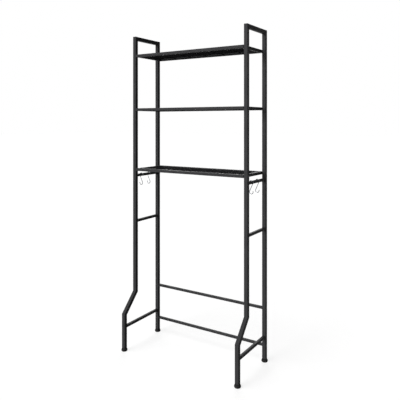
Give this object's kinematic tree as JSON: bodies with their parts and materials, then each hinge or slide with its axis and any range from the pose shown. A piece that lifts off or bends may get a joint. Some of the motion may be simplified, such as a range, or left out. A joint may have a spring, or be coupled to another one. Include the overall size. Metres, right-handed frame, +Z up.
{
  "type": "over-the-toilet storage rack",
  "caption": "Free-standing square-tube steel rack that straddles a toilet, with wire shelves between two side frames, forward-stepped front legs, levelling feet and S-hooks.",
  "frame": {"origin": "on the floor under the middle of the footprint of the feet", "axes": "+X along the shelves to the right seen from the front, +Y to the wall at the back, +Z up"},
  "size_m": [0.72, 0.327, 1.7],
  "materials": {
    "powder_coated_steel": "satin black powder coat on steel tube and wire",
    "zinc_plated_steel": "bright zinc plate",
    "black_oxide_bolts": "black oxide",
    "black_nylon": "moulded, fine matt",
    "black_rubber": "moulded, matt",
    "chrome_wire": "polished chrome plate on drawn wire"
  },
  "bodies": {
    "rack": {"left_front_post": "powder_coated_steel", "left_rear_post": "powder_coated_steel", "left_top_bar": "powder_coated_steel", "left_front_leg": "powder_coated_steel", "left_rear_leg": "powder_coated_steel", "left_hook_rail": "powder_coated_steel", "left_mid_rail": "powder_coated_steel", "left_low_rail": "powder_coated_steel", "right_front_post": "powder_coated_steel", "right_rear_post": "powder_coated_steel", "right_top_bar": "powder_coated_steel", "right_front_leg": "powder_coated_steel", "right_rear_leg": "powder_coated_steel", "right_hook_rail": "powder_coated_steel", "right_mid_rail": "powder_coated_steel", "right_low_rail": "powder_coated_steel", "post_caps": "black_nylon", "post_joiners": "zinc_plated_steel", "upper_rear_stretcher": "powder_coated_steel", "lower_rear_stretcher": "powder_coated_steel", "stretcher_plugs": "zinc_plated_steel", "stretcher_bolts": "black_oxide_bolts", "upper_shelf_front_rim": "powder_coated_steel", "upper_shelf_rear_rim": "powder_coated_steel", "upper_shelf_left_rim": "powder_coated_steel", "upper_shelf_right_rim": "powder_coated_steel", "upper_shelf_wire_deck": "powder_coated_steel", "upper_shelf_saddles": "black_nylon", "upper_shelf_nuts": "zinc_plated_steel", "upper_shelf_bolts": "black_oxide_bolts", "middle_shelf_front_rim": "powder_coated_steel", "middle_shelf_rear_rim": "powder_coated_steel", "middle_shelf_left_rim": "powder_coated_steel", "middle_shelf_right_rim": "powder_coated_steel", "middle_shelf_wire_deck": "powder_coated_steel", "middle_shelf_saddles": "black_nylon", "middle_shelf_nuts": "zinc_plated_steel", "middle_shelf_bolts": "black_oxide_bolts", "lower_shelf_front_rim": "powder_coated_steel", "lower_shelf_rear_rim": "powder_coated_steel", "lower_shelf_left_rim": "powder_coated_steel", "lower_shelf_right_rim": "powder_coated_steel", "lower_shelf_wire_deck": "powder_coated_steel", "lower_shelf_saddles": "black_nylon", "lower_shelf_nuts": "zinc_plated_steel", "lower_shelf_bolts": "black_oxide_bolts", "leg_inserts": "black_nylon"},
    "left_front_foot": {"left_front_foot_pad": "black_rubber", "left_front_foot_stud": "zinc_plated_steel"},
    "left_rear_foot": {"left_rear_foot_pad": "black_rubber", "left_rear_foot_stud": "zinc_plated_steel"},
    "right_front_foot": {"right_front_foot_pad": "black_rubber", "right_front_foot_stud": "zinc_plated_steel"},
    "right_rear_foot": {"right_rear_foot_pad": "black_rubber", "right_rear_foot_stud": "zinc_plated_steel"},
    "left_s_hook_1": {"left_s_hook_1": "chrome_wire"},
    "left_s_hook_2": {"left_s_hook_2": "chrome_wire"},
    "right_s_hook_1": {"right_s_hook_1": "chrome_wire"},
    "right_s_hook_2": {"right_s_hook_2": "chrome_wire"}
  },
  "joints": [
    {"name": "left_front_foot_screw", "type": "slide", "parent": "rack", "child": "left_front_foot", "axis": [0, 0, 1], "range_m": [-0.012, 0]},
    {"name": "left_rear_foot_screw", "type": "slide", "parent": "rack", "child": "left_rear_foot", "axis": [0, 0, 1], "range_m": [-0.012, 0]},
    {"name": "right_front_foot_screw", "type": "slide", "parent": "rack", "child": "right_front_foot", "axis": [0, 0, 1], "range_m": [-0.012, 0]},
    {"name": "right_rear_foot_screw", "type": "slide", "parent": "rack", "child": "right_rear_foot", "axis": [0, 0, 1], "range_m": [-0.012, 0]},
    {"name": "left_s_hook_1_swing", "type": "hinge", "parent": "rack", "child": "left_s_hook_1", "pos_m": [-0.3435, -0.005, 0.9345], "axis": [0, 1, 0], "range_deg": [-60, 60]},
    {"name": "left_s_hook_2_swing", "type": "hinge", "parent": "rack", "child": "left_s_hook_2", "pos_m": [-0.3435, 0.062, 0.9345], "axis": [0, 1, 0], "range_deg": [-60, 60]},
    {"name": "right_s_hook_1_swing", "type": "hinge", "parent": "rack", "child": "right_s_hook_1", "pos_m": [0.3435, -0.005, 0.9345], "axis": [0, 1, 0], "range_deg": [-60, 60]},
    {"name": "right_s_hook_2_swing", "type": "hinge", "parent": "rack", "child": "right_s_hook_2", "pos_m": [0.3435, 0.062, 0.9345], "axis": [0, 1, 0], "range_deg": [-60, 60]}
  ]
}
